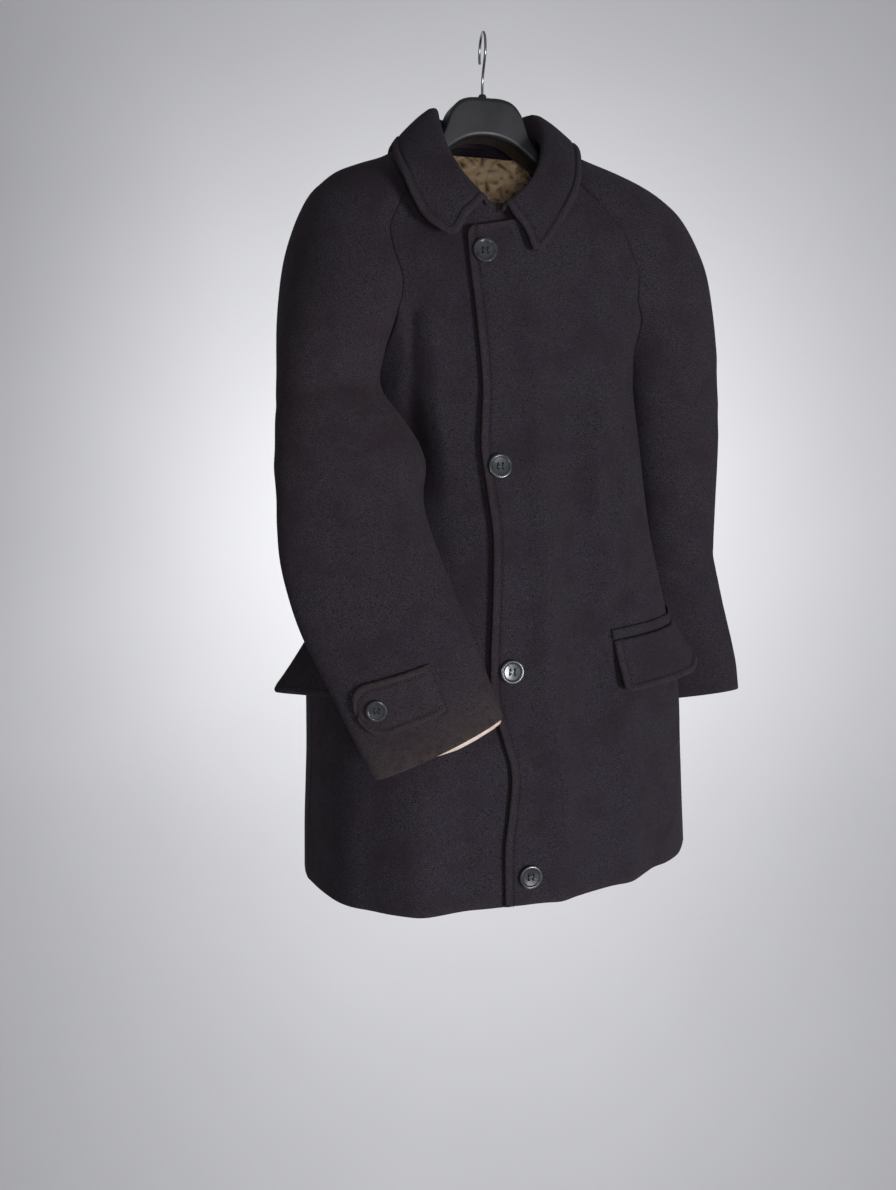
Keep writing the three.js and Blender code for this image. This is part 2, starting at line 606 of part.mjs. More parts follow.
for (const [side, flap, strap] of [['left', FLAP_LEFT, STRAP_LEFT], ['right', FLAP_RIGHT, STRAP_RIGHT]]) {
  add(`pocket_flap_${side}`, sheet(flapGrid(panel(flap.panel), flap), DOUBLE_WOOL), WOOL_DARK);
  add(`pocket_welt_${side}`, sheet(weltGrid(panel(flap.panel), flap), WOOL), WOOL_PAINT);
  const grid = strapGrid(panel(strap.panel), strap);
  add(`cuff_strap_${side}`, sheet(strap.from > strap.to ? mirrored(grid) : grid, DOUBLE_WOOL), WOOL_DARK);
}

// Sews a button on the face of a piece, straight in front of a place given in X and Z.
function sew(name, size, onto, [x, z], from = -1) {
  const ray = new THREE.Raycaster(new THREE.Vector3(x, from * 1000, z), new THREE.Vector3(0, -from, 0));
  const [hit] = ray.intersectObject(coat.getObjectByName(onto));
  const mesh = add(name, button(size), BUTTON_PAINT);
  mesh.position.copy(hit.point).addScaledVector(hit.face.normal, BUTTON_AIR);
  mesh.quaternion.setFromUnitVectors(new THREE.Vector3(0, -1, 0), hit.face.normal);
}

FRONT_BUTTONS.forEach((place, i) => sew(`button_${i + 1}`, FRONT_BUTTON, 'front_left', place));
sew('cuff_button_right', CUFF_BUTTON, 'cuff_strap_right', CUFF_BUTTONS.right);
sew('cuff_button_left', CUFF_BUTTON, 'cuff_strap_left', CUFF_BUTTONS.left, 1);

add('hanger_body', hangerBody(), HANGER_PAINT);
add('hanger_hook', tube(hookLine(), WIRE / 2, WIRE_SIDES), STEEL_PAINT);
add('hanger_bead', hookBead(), HANGER_PAINT);

export default coat;
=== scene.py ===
# %% [markdown]
# # A wool coat on a clothes hanger
#
# The coat is a raglan car coat in heavy milled wool. It is buttoned and hangs on a broad moulded
# hanger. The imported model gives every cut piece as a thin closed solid. This lesson draws each
# piece again as fine cloth, in the place that its solid holds, and then sews, buttons and lights it.
# All lengths are in metres, and `MM` turns a size in millimetres into one.

import math
from collections import Counter
from dataclasses import dataclass, field

import bmesh
import bpy
import numpy as np
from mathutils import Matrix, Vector


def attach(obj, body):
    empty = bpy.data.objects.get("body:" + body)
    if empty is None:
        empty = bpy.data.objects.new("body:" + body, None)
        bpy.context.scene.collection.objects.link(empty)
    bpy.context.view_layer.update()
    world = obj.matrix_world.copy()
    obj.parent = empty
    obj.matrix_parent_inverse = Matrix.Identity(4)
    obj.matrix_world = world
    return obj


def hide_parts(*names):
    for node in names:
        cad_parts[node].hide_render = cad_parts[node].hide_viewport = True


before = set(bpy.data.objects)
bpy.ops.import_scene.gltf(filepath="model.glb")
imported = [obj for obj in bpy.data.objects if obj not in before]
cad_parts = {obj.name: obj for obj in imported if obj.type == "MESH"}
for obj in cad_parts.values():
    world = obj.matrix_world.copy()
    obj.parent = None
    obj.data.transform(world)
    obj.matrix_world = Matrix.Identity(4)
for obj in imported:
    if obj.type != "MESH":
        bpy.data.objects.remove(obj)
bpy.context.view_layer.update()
MM = 0.001

# %% [markdown]
# ## The camera and the room
#
# The coat is looked at from a little to its right and from the height of its waist, with a lens
# that is slightly wider than normal. A pale paper sweep stands behind it and runs forward as the
# floor, so there is no horizon. Depth of field stays off, because every other view uses this camera.

# %% Camera
LOOKS_FROM = Vector((-0.451, -1.431, -0.487))
TURNED = math.radians(-16.0)
TIPPED_DOWN = math.radians(5.84)
LENS_MM, SENSOR_MM = 38.4, 36.0


def camera():
    lens = bpy.data.cameras.new("camera")
    lens.lens, lens.sensor_width = LENS_MM, SENSOR_MM
    eye = bpy.data.objects.new("camera", lens)
    eye.location = LOOKS_FROM
    eye.rotation_euler = (math.pi / 2 - TIPPED_DOWN, 0.0, TURNED)
    bpy.context.collection.objects.link(eye)
    bpy.context.scene.camera = eye


camera()

# %% [markdown]
# ## A word on materials
#
# One small function adds a node with its settings and its links, and another turns a hex colour as
# a painter reads it (sRGB) into the linear numbers that the shader wants.

# %% Two helpers for every material
def linear(hexa):
    channels = [int(hexa[k:k + 2], 16) / 255 for k in (1, 3, 5)]
    return [c / 12.92 if c <= 0.04045 else ((c + 0.055) / 1.055) ** 2.4 for c in channels] + [1.0]


def add_node(tree, kind, links=None, **settings):
    """A node of this kind. A setting is an input's name, or a property of the node."""
    made = tree.nodes.new(kind)
    for name, value in settings.items():
        if hasattr(made, name):
            setattr(made, name, value)
    for name, value in settings.items():
        if not hasattr(made, name):
            made.inputs[name.replace("_", " ")].default_value = value
    for name, source in (links or {}).items():
        tree.links.new(source, made.inputs[name])
    return made


def new_material(name, **surface):
    """An empty material with its shader, whose constants are the ones given."""
    material = bpy.data.materials.new(name)
    material.use_nodes = True
    shader = material.node_tree.nodes["Principled BSDF"]
    for socket, value in surface.items():
        shader.inputs[socket.replace("_", " ")].default_value = value
    return material, material.node_tree, shader


def blend_by(tree, factor, low, high):
    """A colour between two, each a hex value or the output of a node."""
    mix = add_node(tree, "ShaderNodeMix", data_type="RGBA")
    tree.links.new(factor, mix.inputs[0])
    for socket, colour in ((mix.inputs[6], low), (mix.inputs[7], high)):
        if isinstance(colour, str):
            socket.default_value = linear(colour)
        else:
            tree.links.new(colour, socket)
    return mix.outputs[2]


def spread_out(tree, value, low, high):
    """Stretches the part of a pattern from low to high so that it runs from 0 to 1."""
    stretch = add_node(tree, "ShaderNodeMapRange", {"Value": value}, From_Min=low, From_Max=high)
    return stretch.outputs["Result"]


def grain(tree, where, size, detail=2.0, **more):
    """Soft noise whose blots are about this large, in metres."""
    noise = add_node(tree, "ShaderNodeTexNoise", {"Vector": where}, Scale=1 / size, Detail=detail, **more)
    return noise.outputs["Fac"]


def raised(tree, height, depth, under=None):
    """A bump of this depth, in metres, over another one."""
    links = {"Height": height}
    if under:
        links["Normal"] = under
    bump = add_node(tree, "ShaderNodeBump", links, Strength=1.0, Distance=depth)
    return bump.outputs["Normal"]


# %% [markdown]
# ## Milled wool
#
# The coat is cut from melton: a woollen twill that is milled until the weave closes and then
# cropped, so a short nap covers it. The yarn mixes charcoal, blue-grey and a plum brown, which from a
# step away reads as a warm black with a fine fleck. Nap scatters light at grazing angles, and that is
# the sheen. Where hands and sleeves rub, at the edges of the collar, the flaps and the cuffs, the dark
# dye has gone and a brown shows. Each piece carries that as an attribute, `rubbed`, from 0 to 1.
# The fleck is drawn 1 mm wide, coarser than the fibre, so that it shows at this distance.

# %% Wool
FLECK = 1.0 * MM
TWILL_LINE = 2.6 * MM
TWILL_SLANT = math.radians(62)
CLOUD = 38 * MM
WORN_PATCH = 7 * MM
PUCKER = 16 * MM
WAVES_PER_SCALE = 0.314   # divided by a line's width, it gives a wave texture's scale


def wool(name, dark, light, plum, worn):
    material, tree, shader = new_material(
        name, Roughness=0.95, Specular_IOR_Level=0.12, Sheen_Weight=0.06, Sheen_Roughness=0.5,
        Sheen_Tint=linear("#b9aeb6"))
    place = add_node(tree, "ShaderNodeTexCoord").outputs["Object"]
    rubbed = add_node(tree, "ShaderNodeAttribute", attribute_name="rubbed").outputs["Fac"]
    cloth = add_node(tree, "ShaderNodeUVMap", uv_map="cloth").outputs["UV"]

    fleck = spread_out(tree, grain(tree, place, FLECK, 2.0), 0.3, 0.74)
    cloud = spread_out(tree, grain(tree, place, CLOUD, 3.0), 0.38, 0.64)
    slanted = add_node(
        tree, "ShaderNodeMapping", {"Vector": cloth}, Rotation=(0.0, 0.0, TWILL_SLANT))
    twill = add_node(
        tree, "ShaderNodeTexWave", {"Vector": slanted.outputs["Vector"]}, Scale=WAVES_PER_SCALE / TWILL_LINE,
        Distortion=7.0, Detail=2.0, Detail_Scale=2.5)
    body = blend_by(tree, fleck, dark, light)
    tinted = blend_by(tree, cloud, body, plum)
    soft_tint = add_node(tree, "ShaderNodeMath", {0: fleck, 1: cloud}, operation="MULTIPLY")
    body = blend_by(tree, soft_tint.outputs[0], body, tinted)
    patchy = spread_out(tree, grain(tree, place, WORN_PATCH, 3.0), 0.2, 0.8)
    fading = add_node(tree, "ShaderNodeMath", {0: rubbed, 1: patchy}, operation="MULTIPLY")
    body = blend_by(tree, fading.outputs[0], body, worn)
    tree.links.new(body, shader.inputs["Base Color"])

    pucker = raised(tree, grain(tree, place, PUCKER, 2.0), 1.3 * MM)
    nap = raised(tree, fleck, 0.2 * MM, pucker)
    weave = raised(tree, twill.outputs["Fac"], 0.18 * MM, nap)
    tree.links.new(weave, shader.inputs["Normal"])
    return material


COATING = wool("milled_wool_charcoal", "#121013", "#48424a", "#31262f", "#54483e")
print("wool ready:", COATING.name)

# %% [markdown]
# ## Satin, polyester, polystyrene and wire
#
# The lining is a tan satin: long floats of bright yarn, so it is smooth and catches light in streaks,
# and every fold in it has a dark valley. That shade is painted into the satin's colour, darker where the
# crease is deeper. The buttons are cast polyester, turned and polished, smoky enough to let a little
# light in. The hanger is moulded black polystyrene with a fine spark texture, which makes it a dark
# satin grey. The hook is bright plated steel wire, drawn lengthwise.

# %% Satin
def satin(name, bright, middle, valley, thread=1.4 * MM):
    material, tree, shader = new_material(
        name, Roughness=0.42, Specular_IOR_Level=0.5, Anisotropic=0.5, Sheen_Weight=0.15)
    place = add_node(tree, "ShaderNodeTexCoord").outputs["Object"]
    cloth = add_node(tree, "ShaderNodeUVMap", uv_map="cloth").outputs["UV"]
    # Painted shade: the deeper a point lies in a crease, the nearer its colour comes to the dark valley
    # colour.
    painted_crease_shade = add_node(tree, "ShaderNodeAttribute", attribute_name="painted_crease_shade").outputs["Fac"]
    mottled = spread_out(tree, grain(tree, place, 9 * MM, 4.0), 0.3, 0.7)
    lit = blend_by(tree, mottled, middle, bright)
    tree.links.new(blend_by(tree, painted_crease_shade, lit, valley), shader.inputs["Base Color"])
    floats = add_node(
        tree, "ShaderNodeTexWave", {"Vector": cloth}, Scale=WAVES_PER_SCALE / thread, Distortion=3.0,
        Detail=2.0)
    crumpled = raised(tree, grain(tree, place, 6 * MM, 3.0), 1.2 * MM)
    tree.links.new(raised(tree, floats.outputs["Fac"], 0.06 * MM, crumpled), shader.inputs["Normal"])
    return material


# The third colour of each satin is the painted shade at the bottom of its creases.
LINING_SATIN = satin("tan_lining_satin", "#f6d8ac", "#d8b482", "#5a3a20")
CUFF_SATIN = satin("cream_cuff_satin", "#f0ddca", "#d9c2ae", "#8a705c")


# %% Button, hanger and wire
def smoky_polyester():
    material, tree, shader = new_material(
        "smoky_cast_polyester", Roughness=0.25, IOR=1.5, Coat_Weight=0.2, Coat_Roughness=0.05,
        Subsurface_Weight=0.12, Subsurface_Scale=0.002)
    place = add_node(tree, "ShaderNodeTexCoord").outputs["Object"]
    swirl = spread_out(tree, grain(tree, place, 12 * MM, 2.0, Distortion=0.8), 0.3, 0.7)
    tree.links.new(blend_by(tree, swirl, "#292b2d", "#434649"), shader.inputs["Base Color"])
    scuffed = add_node(
        tree, "ShaderNodeMapRange", {"Value": grain(tree, place, 1.6 * MM)}, To_Min=0.2, To_Max=0.32)
    tree.links.new(scuffed.outputs["Result"], shader.inputs["Roughness"])
    return material


def spark_textured_polystyrene():
    material, tree, shader = new_material("moulded_black_polystyrene", Roughness=0.5, IOR=1.59)
    place = add_node(tree, "ShaderNodeTexCoord").outputs["Object"]
    spark = grain(tree, place, 0.9 * MM, 3.0)
    smear = spread_out(tree, grain(tree, place, 30 * MM, 4.0), 0.35, 0.65)
    tree.links.new(blend_by(tree, smear, "#1b1c1e", "#232427"), shader.inputs["Base Color"])
    dull = add_node(tree, "ShaderNodeMapRange", {"Value": smear}, To_Min=0.42, To_Max=0.56)
    tree.links.new(dull.outputs["Result"], shader.inputs["Roughness"])
    tree.links.new(raised(tree, spark, 0.12 * MM), shader.inputs["Normal"])
    return material


def drawn_wire():
    material, tree, shader = new_material("bright_plated_steel_wire", Metallic=1.0, Roughness=0.25)
    place = add_node(tree, "ShaderNodeTexCoord").outputs["Object"]
    stretched = add_node(tree, "ShaderNodeMapping", {"Vector": place}, Scale=(1.0, 1.0, 0.08))
    drawn = grain(tree, stretched.outputs["Vector"], 0.5 * MM)
    tree.links.new(blend_by(tree, drawn, "#8f9092", "#c4c5c7"), shader.inputs["Base Color"])
    rub = add_node(tree, "ShaderNodeMapRange", {"Value": drawn}, To_Min=0.18, To_Max=0.34)
    tree.links.new(rub.outputs["Result"], shader.inputs["Roughness"])
    return material


def waxed_thread():
    material, tree, shader = new_material("dark_waxed_thread", Roughness=0.7, Sheen_Weight=0.2)
    place = add_node(tree, "ShaderNodeTexCoord").outputs["Object"]
    ply = grain(tree, place, 0.6 * MM)
    tree.links.new(blend_by(tree, ply, "#17151a", "#35323a"), shader.inputs["Base Color"])
    tree.links.new(raised(tree, ply, 0.1 * MM), shader.inputs["Normal"])
    return material


POLYESTER, POLYSTYRENE = smoky_polyester(), spark_textured_polystyrene()
WIRE, THREAD = drawn_wire(), waxed_thread()
print("materials:", len(bpy.data.materials))

# %% [markdown]
# ## Reading a cut piece
#
# A piece of cloth in the solid model is a wall: an outer side, an inner side and a narrow rim. The rim
# is known by its short edges, which are exactly as long as the cloth is thick. Without it the wall
# falls into two sheets, and the outer one is a net of rows and columns, cut into triangles. Walking
# the net from one corner gives the rows back, and then the piece can be drawn as finely as it needs.

# %% Take a solid apart
def merged_solid(node):
    body = bmesh.new()
    body.from_mesh(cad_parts[node].data)
    bmesh.ops.remove_doubles(body, verts=body.verts, dist=0.01 * MM)
    body.verts.index_update()
    points = np.array([v.co for v in body.verts])
    triangles = [tuple(v.index for v in f.verts) for f in body.faces]
    body.free()
    return points, triangles


def edges_of(triangle):
    a, b, c = triangle
    return frozenset((a, b)), frozenset((b, c)), frozenset((c, a))


def without_rim(points, triangles, thick):
    """The triangles of each sheet that is left when the rim is taken away."""
    def on_rim(triangle):
        lengths = [np.linalg.norm(np.subtract(*points[list(edge)])) for edge in edges_of(triangle)]
        return min(abs(length - thick) for length in lengths) < 0.005 * MM

    kept = [triangle for triangle in triangles if not on_rim(triangle)]
    meets = {}
    for triangle in kept:
        for corner in triangle:
            meets.setdefault(corner, []).append(triangle)
    sheets, seen = [], set()
    for first in kept:
        if first in seen:
            continue
        seen.add(first)
        found, waiting = [], [first]
        while waiting:
            triangle = waiting.pop()
            found.append(triangle)
            near = {t for corner in triangle for t in meets[corner]} - seen
            seen |= near
            waiting += near
        sheets.append(found)
    return sheets


def faces_out(points, sheet, own_centre):
    """How much of a sheet faces away from the coat's middle, or from the sheet's own."""
    corners = points[np.array(sheet)]
    across = np.cross(corners[:, 1] - corners[:, 0], corners[:, 2] - corners[:, 0])
    middle = corners.mean(axis=1)
    hub = middle.mean(axis=0) if own_centre else middle * [0.0, 0.0, 1.0]
    return float((across * (middle - hub)).sum())


# %% Lay its points in rows
def laid_in_rows(sheet):
    """The sheet's point numbers as rows, walked from one corner of the net."""
    meet = {}
    for triangle in sheet:
        for edge in edges_of(triangle):
            meet.setdefault(edge, []).append(triangle)
    border = {}
    for edge, found in meet.items():
        if len(found) == 1:
            a, b = edge
            border.setdefault(a, []).append(b)
            border.setdefault(b, []).append(a)
    touched = Counter(corner for triangle in sheet for corner in triangle)
    corners = [point for point in border if touched[point] < 3]
    if len(corners) != 4:
        raise ValueError(f"a net has four corners, and not {len(corners)}")

    def along_border(start, then):
        line = [start, then]
        while line[-1] not in corners:
            line.append(next(p for p in border[line[-1]] if p != line[-2]))
        return line

    used = set()

    def beyond(a, b):
        """The third corner of the unused triangle on an edge."""
        triangle = next(t for t in meet[frozenset((a, b))] if t not in used)
        used.add(triangle)
        return next(corner for corner in triangle if corner not in (a, b))

    one_way, other_way = border[corners[0]]
    rows = [along_border(corners[0], one_way)]
    for start in along_border(corners[0], other_way)[1:]:
        line = [start]
        for a, b in zip(rows[-1], rows[-1][1:]):
            third = beyond(a, b)
            if third == line[-1]:
                third = beyond(line[-1], b)
            else:
                beyond(a, third)
            line.append(third)
        rows.append(line)
    return np.array(rows)


def net_of(node, thick, down=(0.0, 0.0, -1.0), own_centre=False):
    """A cloth node's outer side as points in rows. Rows follow each other along `down`."""
    points, triangles = merged_solid(node)
    sheets = without_rim(points, triangles, thick)
    if len(sheets) != 2:
        raise ValueError(f"{node} came apart into {len(sheets)} sheets")
    sheet = max(sheets, key=lambda each: faces_out(points, each, own_centre))
    net = points[laid_in_rows(sheet)]
    way = np.array(down)
    if abs((net[-1] - net[0]).mean(axis=0) @ way) < abs((net[:, -1] - net[:, 0]).mean(axis=0) @ way):
        net = net.transpose(1, 0, 2)
    if (net[-1] - net[0]).mean(axis=0) @ way < 0:
        net = net[::-1]
    corners = points[np.array(sheet[:1])][0]
    outward = np.cross(corners[1] - corners[0], corners[2] - corners[0])
    at = np.linalg.norm(net[:-1, :-1] - corners.mean(axis=0), axis=-1)
    i, j = np.unravel_index(at.argmin(), at.shape)
    if np.cross(net[i + 1, j] - net[i, j], net[i, j + 1] - net[i, j]) @ outward < 0:
        net = net[:, ::-1]
    return np.ascontiguousarray(net)


# %% [markdown]
# ## Drawing a piece finely
#
# A smooth line runs through each column of the net and then through each row, and points are set
# along it by distance. Near an edge they stand at fixed distances, close together, so a rounded
# fold or a line of stitches lies at the same distance from the edge all the way. Between the edges
# they are spaced evenly. Each point keeps its distance from all four edges.

# %% Redraw a net
SEAM = (0.0, 0.5, 1.2, 2.2, 3.6)
FOLD = (0.0, 0.3, 0.9, 1.8, 3.0, 4.6)


def stitched(at):
    """Distances from an edge, in millimetres, that draw the groove of a stitch line well."""
    return (0.0, 0.3, 0.9, 1.8, 3.2, at - 3.0, at - 1.6, at - 0.8, at, at + 0.8, at + 1.7, at + 3.0)


def smooth_lines(lines, between=12):
    """Catmull-Rom curves through the first axis of an array of points."""
    ends = [2 * lines[:1] - lines[1:2], lines, 2 * lines[-1:] - lines[-2:-1]]
    knots = np.concatenate(ends)
    t = (np.arange(between) / between)[None, :, None, None]
    a, b, c, d = (knots[k:len(knots) - 3 + k, None] for k in range(4))
    bends = 2 * b + (c - a) * t + (2 * a - 5 * b + 4 * c - d) * t**2 + (3 * b - a - 3 * c + d) * t**3
    return np.concatenate([bends.reshape(-1, *lines.shape[1:]) / 2, lines[-1:]])


def run_along(lines):
    """The distance from the start of each line to each of its points."""
    strides = np.linalg.norm(np.diff(lines, axis=0), axis=-1)
    return np.concatenate([np.zeros((1, lines.shape[1])), np.cumsum(strides, axis=0)])


def redrawn(lines, first, last, apart):
    dense = smooth_lines(lines)
    run = run_along(dense)
    near, far = np.array(first) * MM, np.array(last)[::-1] * MM
    middle = max(int((run[-1].mean() - near[-1] - far[0]) / apart), 2)
    drawn = np.empty((len(near) + middle - 1 + len(far), *lines.shape[1:]))
    for k in range(lines.shape[1]):
        whole = run[-1, k]
        fit = min(1.0, 0.85 * whole / (near[-1] + far[0]))
        marks = np.concatenate([
            near * fit,
            np.linspace(near[-1] * fit, whole - far[0] * fit, middle + 1)[1:-1],
            whole - far * fit])
        for axis in range(3):
            drawn[:, k, axis] = np.interp(marks, run[:, k], dense[:, k, axis])
    return drawn


def unit(ways):
    return ways / np.maximum(np.linalg.norm(ways, axis=-1, keepdims=True), 1e-12)


@dataclass
class Piece:
    """A cut piece as it hangs: its points in rows, and their distances from its four edges."""
    name: str
    points: np.ndarray
    edge: dict = field(default_factory=dict)

    def measure(self):
        down, across = run_along(self.points), run_along(self.points.transpose(1, 0, 2)).T
        self.edge = {"top": down, "foot": down[-1:] - down, "left": across, "right": across[:, -1:] - across}
        self.across = across - across[:, -1:] / 2
        self.out = unit(np.cross(np.gradient(self.points, axis=0), np.gradient(self.points, axis=1)))
        return self

    def way_in(self, side):
        """The direction in the cloth that leads away from one of its edges."""
        way = np.gradient(self.points, axis=0 if side in ("top", "foot") else 1)
        return unit(way if side in ("top", "left") else -way)

    def round_corner(self, one, other, radius):
        """Cuts the corner between two edges to an arc of this radius, in millimetres."""
        near_one, near_other = radius * MM - self.edge[one], radius * MM - self.edge[other]
        inside = (near_one > 0) & (near_other > 0)
        longer = np.maximum(np.hypot(near_one, near_other), 1e-9)
        cut = np.where(inside, 1 - np.maximum(near_one, near_other) / longer, 0)
        self.points = (self.points + (near_one * cut)[..., None] * self.way_in(one)
                       + (near_other * cut)[..., None] * self.way_in(other))


def piece_of(node, thick, top=SEAM, foot=SEAM, left=SEAM, right=SEAM, apart=4.2 * MM, **reading):
    net = net_of(node, thick, **reading)
    net = redrawn(net, top, foot, apart)
    net = redrawn(net.transpose(1, 0, 2), left, right, apart).transpose(1, 0, 2)
    return Piece(node, creased(net)).measure()


# %% [markdown]
# ## How the cloth hangs
#
# Heavy wool doesn't wrinkle sharply. It holds a few broad soft folds: where a sleeve leaves the body,
# round the bend of an arm, and from the chest to the hem. Each fold here is a line in space with
# a width, a depth and the way it pushes. Every piece near it is pushed alike, so a fold runs on over
# a seam and takes the flap or the strap that lies there with it. A cloth simulation can make folds as
# well. Placing them one by one was chosen here, because it puts each one where this coat has it.

# %% Folds
FRONT, BEHIND = (0.0, -1.0, 0.0), (0.0, 1.0, 0.0)
FOLDS = []


def soft_fold(line, width, depth, push=FRONT):
    """A ridge along a line of points in millimetres, or a trough where the depth is negative."""
    FOLDS.append((np.array(line) * MM, width * MM, depth * MM, np.array(push) / np.linalg.norm(push)))


def pushed_by(points):
    """How far the folds move each of these points."""
    moved = np.zeros_like(points)
    for line, width, depth, push in FOLDS:
        near = np.full(points.shape[:-1], np.inf)
        for a, b in zip(line, line[1:]):
            along = np.clip(((points - a) @ (b - a)) / ((b - a) @ (b - a)), 0, 1)
            near = np.minimum(near, np.linalg.norm(points - a - along[..., None] * (b - a), axis=-1))
        moved += (depth * np.exp(-((near / width) ** 2)))[..., None] * push
    return moved


def creased(points):
    return points + pushed_by(points)


# The left front: the soft ridge beside its edge, and the pull towards the armpit.
soft_fold([(16, -116, -340), (24, -123, -404), (24, -131, -470), (33, -139, -560), (33, -144, -650),
           (37, -148, -740), (52, -150, -830), (46, -151, -968)], 15, 4.5)
soft_fold([(-2, -122, -420), (0, -138, -560), (2, -147, -740), (18, -152, -900)], 15, -2.5)
soft_fold([(72, -108, -430), (84, -122, -600), (98, -132, -760)], 20, -7)
soft_fold([(160, -70, -396), (138, -96, -460), (118, -104, -540)], 12, -5)
soft_fold([(132, -94, -380), (108, -103, -450), (98, -108, -540)], 14, 4)
soft_fold([(128, -112, -640), (170, -98, -610), (206, -70, -566)], 11, -7)
soft_fold([(150, -112, -968), (146, -112, -860), (138, -112, -760)], 22, 8)
soft_fold([(196, -78, -968), (190, -84, -880)], 20, -5)

# The right front: a deep hollow beside the sleeve, and slow waves at the hem.
soft_fold([(-126, -96, -330), (-124, -84, -404), (-112, -78, -470), (-126, -88, -560)], 15, -9)
soft_fold([(-92, -104, -330), (-86, -104, -420), (-80, -112, -520)], 14, 4)
soft_fold([(-60, -140, -968), (-62, -136, -860)], 18, -4)
soft_fold([(-112, -152, -968), (-108, -140, -840)], 20, 4)
soft_fold([(-160, -120, -968), (-156, -118, -860)], 18, -4)

# The right sleeve: the elbow stands out, creases gather above and below it.
soft_fold([(-262, -70, -500), (-264, -80, -548)], 20, 12, (-1.0, -0.25, 0.0))
soft_fold([(-246, -96, -566), (-206, -136, -590), (-160, -150, -596)], 11, -4, (-0.4, -1.0, 0.0))
soft_fold([(-244, -60, -424), (-214, -96, -410), (-176, -100, -392)], 12, -4, (-0.5, -1.0, 0.0))
soft_fold([(-232, -60, -360), (-190, -90, -350), (-150, -92, -350)], 15, 3, (-0.5, -1.0, 0.0))
soft_fold([(-168, -86, -398), (-150, -90, -330), (-120, -88, -260)], 12, -3, (-0.2, -1.0, 0.0))

# The same sleeve lies forward over the front, from the armpit to the waist.
soft_fold([(-154, -95, -290), (-152, -94, -350), (-146, -97, -420), (-138, -106, -480)], 42, 27,
          (1.0, -0.35, 0.0))

# The left sleeve: creases in the bend of the elbow.
soft_fold([(302, -6, -604), (276, -22, -624), (248, -20, -618)], 10, -5, (0.1, -1.0, 0.0))
soft_fold([(312, 8, -664), (290, 2, -656), (258, 0, -670)], 10, -5, (0.1, -1.0, 0.0))
soft_fold([(306, 0, -634), (284, -10, -642), (256, -12, -646)], 9, 4, (0.1, -1.0, 0.0))
soft_fold([(292, -20, -430), (250, -46, -420), (214, -44, -404)], 12, -4, (0.3, -1.0, 0.0))
soft_fold([(276, -28, -360), (232, -66, -350), (184, -78, -340)], 15, 3, (0.3, -1.0, 0.0))
soft_fold([(176, -70, -398), (164, -82, -330), (136, -84, -262)], 12, -3, (0.2, -1.0, 0.0))

# The back: hollows below the shoulder blades, then long folds down to the hem.
soft_fold([(96, 92, -330), (110, 98, -560), (128, 116, -968)], 24, 6, BEHIND)
soft_fold([(54, 100, -420), (62, 106, -640), (72, 122, -968)], 22, -6, BEHIND)
soft_fold([(-34, 98, -380), (-44, 108, -640), (-40, 122, -968)], 24, -6, BEHIND)
soft_fold([(-92, 90, -340), (-96, 100, -600), (-100, 116, -968)], 22, 5, BEHIND)
soft_fold([(150, 70, -404), (176, 70, -520), (196, 84, -700)], 16, -6, BEHIND)
soft_fold([(-136, 52, -404), (-156, 60, -520), (-170, 76, -700)], 16, -6, BEHIND)
print("folds:", len(FOLDS))

# %% [markdown]
# ## A wall of cloth
#
# A piece becomes a closed wall again. Its outer side falls away at an edge that is folded or sewn,
# and the inner side meets it there, which makes the soft round edge of milled cloth. A stitch line
# draws the two sides together in a groove, and the cloth between it and the edge swells. Where two
# pieces are sewn together, each reaches a little past its seam, so that no light comes through.

# %% Walls
SEAM_ROUND, HEM_ROUND, EDGE_ROUND = 3.2, 1.6, 2.4   # millimetres of cloth that an edge's round takes
GROOVE_DEPTH, GROOVE_WIDTH, SWELL = 1.9, 1.3, 0.9   # millimetres, at a line of stitches
PAST_SEAM = 0.7 * MM
EDGE_WEAR, WEAR_WIDTH = 0.25, 6 * MM


def rounding(distance, width, depth):
    """How far a face falls at a round edge."""
    inside = np.clip(1 - distance / (width * MM), 0, 1)
    return depth * (1 - np.sqrt(1 - inside**2))


def groove(distance, at):
    """The trough of a stitch line `at` millimetres from the edge, and the swell between them."""
    d = distance / MM
    swell = np.where(d < at, np.sin(np.clip(d / at, 0, 1) * math.pi) ** 0.8, 0)
    return (SWELL * swell - GROOVE_DEPTH * np.exp(-(((d - at) / GROOVE_WIDTH) ** 2))) * MM


def wall_mesh(name, outer, inner):
    rows, columns = outer.shape[:2]
    count = rows * columns
    number = np.arange(count).reshape(rows, columns)
    face = np.stack([number[:-1, :-1], number[1:, :-1], number[1:, 1:], number[:-1, 1:]], -1).reshape(-1, 4)
    rim = np.concatenate([number[:-1, 0], number[-1, :-1], number[:0:-1, -1], number[0, :0:-1]])
    after = np.roll(rim, -1)
    band = np.stack([after, rim, rim + count, after + count], -1)
    faces = np.concatenate([face, face[:, ::-1] + count, band])
    mesh = bpy.data.meshes.new(name)
    mesh.from_pydata(np.concatenate([outer.reshape(-1, 3), inner.reshape(-1, 3)]), [], faces.tolist())
    mesh.shade_smooth()
    return mesh


def note(mesh, name, values):
    """Keeps a number at each point of both sides of a wall."""
    kept = mesh.attributes.new(name, "FLOAT", "POINT")
    kept.data.foreach_set("value", np.tile(values.ravel(), 2).astype(np.float32))


def lay_uv(mesh, piece):
    """The cloth's own coordinates, in metres along its grain."""
    flat = np.stack([piece.across, piece.edge["top"]], -1).reshape(-1, 2)
    both = np.concatenate([flat, flat])
    corner = np.empty(len(mesh.loops), np.int32)
    mesh.loops.foreach_get("vertex_index", corner)
    mesh.uv_layers.new(name="cloth").data.foreach_set("uv", both[corner].ravel().astype(np.float32))


